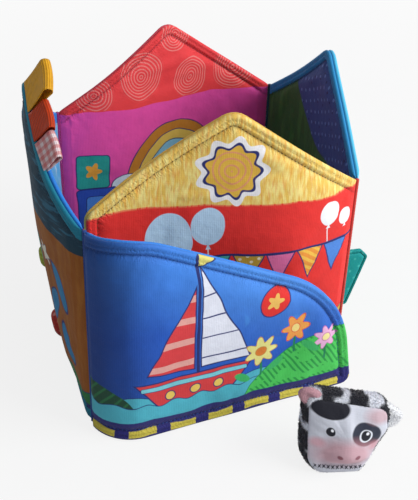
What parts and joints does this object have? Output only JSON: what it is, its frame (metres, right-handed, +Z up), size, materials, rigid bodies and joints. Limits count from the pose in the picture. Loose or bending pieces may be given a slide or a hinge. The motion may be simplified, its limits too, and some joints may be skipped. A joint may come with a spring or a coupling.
{
  "type": "crinkle cloth book",
  "caption": "Soft padded cloth play book with gabled pages that folds open into a little house, with ribbon tags, a flap and a loose stuffed cow.",
  "frame": {"origin": "middle of the footprint of the whole set, on the floor", "axes": "+Z up, the standing direction of the pages; +X along the front page towards the right; +Y from the front page to the back page"},
  "size_m": [0.262, 0.3302, 0.2359],
  "materials": {
    "blue_cloth": "smooth printed polyester",
    "sky_cloth": "smooth printed polyester",
    "foam_pad": "soft polyester wadding",
    "crinkle_film": "thin crinkled film",
    "orange_cloth": "smooth printed polyester",
    "pink_cloth": "smooth printed polyester",
    "green_cloth": "smooth printed polyester",
    "red_cloth": "smooth printed polyester",
    "fold_stitching": "sewn thread",
    "yellow_ribbon": "woven satin ribbon",
    "orange_ribbon": "ribbed woven ribbon",
    "gingham_ribbon": "woven checked ribbon",
    "olive_patch": "padded printed polyester",
    "red_patch": "padded printed polyester",
    "teal_cloth": "smooth printed polyester",
    "toy_cloth": "short velour",
    "toy_fluff": "black and white plush",
    "toy_pink": "short velour"
  },
  "bodies": {
    "cover": {"cover_outer_face": "blue_cloth", "cover_inner_face": "sky_cloth", "cover_foam_pad": "foam_pad", "cover_crinkle_film": "crinkle_film", "front_left_fold_seam": "fold_stitching"},
    "left_page": {"left_outer_face": "orange_cloth", "left_inner_face": "sky_cloth", "left_foam_pad": "foam_pad", "left_crinkle_film": "crinkle_film", "back_left_fold_seam": "fold_stitching", "yellow_ribbon_tag": "yellow_ribbon", "orange_ribbon_tag": "orange_ribbon", "gingham_ribbon_tag": "gingham_ribbon", "upper_patch": "olive_patch", "lower_patch": "red_patch"},
    "back_page": {"back_outer_face": "pink_cloth", "back_inner_face": "pink_cloth", "back_foam_pad": "foam_pad", "back_crinkle_film": "crinkle_film", "back_right_fold_seam": "fold_stitching"},
    "right_page": {"right_outer_face": "green_cloth", "right_inner_face": "green_cloth", "right_foam_pad": "foam_pad", "right_crinkle_film": "crinkle_film", "front_right_fold_seam": "fold_stitching", "flap_seam": "fold_stitching"},
    "front_page": {"front_outer_face": "red_cloth", "front_inner_face": "red_cloth", "front_foam_pad": "foam_pad", "front_crinkle_film": "crinkle_film"},
    "flap": {"flap_outer_face": "teal_cloth", "flap_inner_face": "teal_cloth", "flap_pad": "foam_pad"},
    "cow_toy": {"toy_front_panel": "toy_cloth", "toy_back_panel": "toy_cloth", "toy_gusset": "toy_fluff", "toy_stuffing": "foam_pad", "toy_left_ear": "toy_pink", "toy_right_ear": "toy_cloth"}
  },
  "joints": [
    {"name": "cover_fold", "type": "hinge", "parent": "cover", "child": "left_page", "pos_m": [-0.11465, -0.05354, 0], "axis": [0, 0, 1], "range_deg": [0, 100]},
    {"name": "left_back_fold", "type": "hinge", "parent": "left_page", "child": "back_page", "pos_m": [-0.08237, 0.14355, 0], "axis": [0, 0, 1], "range_deg": [0, 77]},
    {"name": "right_back_fold", "type": "hinge", "parent": "back_page", "child": "right_page", "pos_m": [0.11319, 0.15107, 0], "axis": [0, 0, 1], "range_deg": [0, 50]},
    {"name": "front_fold", "type": "hinge", "parent": "right_page", "child": "front_page", "pos_m": [0.08634, -0.04498, 0], "axis": [0, 0, 1], "range_deg": [-50, 0]},
    {"name": "flap_swing", "type": "hinge", "parent": "right_page", "child": "flap", "pos_m": [0.10355, -0.00302, 0], "axis": [0, 0, 1], "range_deg": [-75, 75]},
    {"name": "toy_lift", "type": "slide", "parent": "cover", "child": "cow_toy", "axis": [0, 0, 1], "range_m": [0, 0.12]}
  ],
  "couplings": [
    {"joint": "front_fold", "follows": "right_back_fold", "ratio": -1}
  ]
}
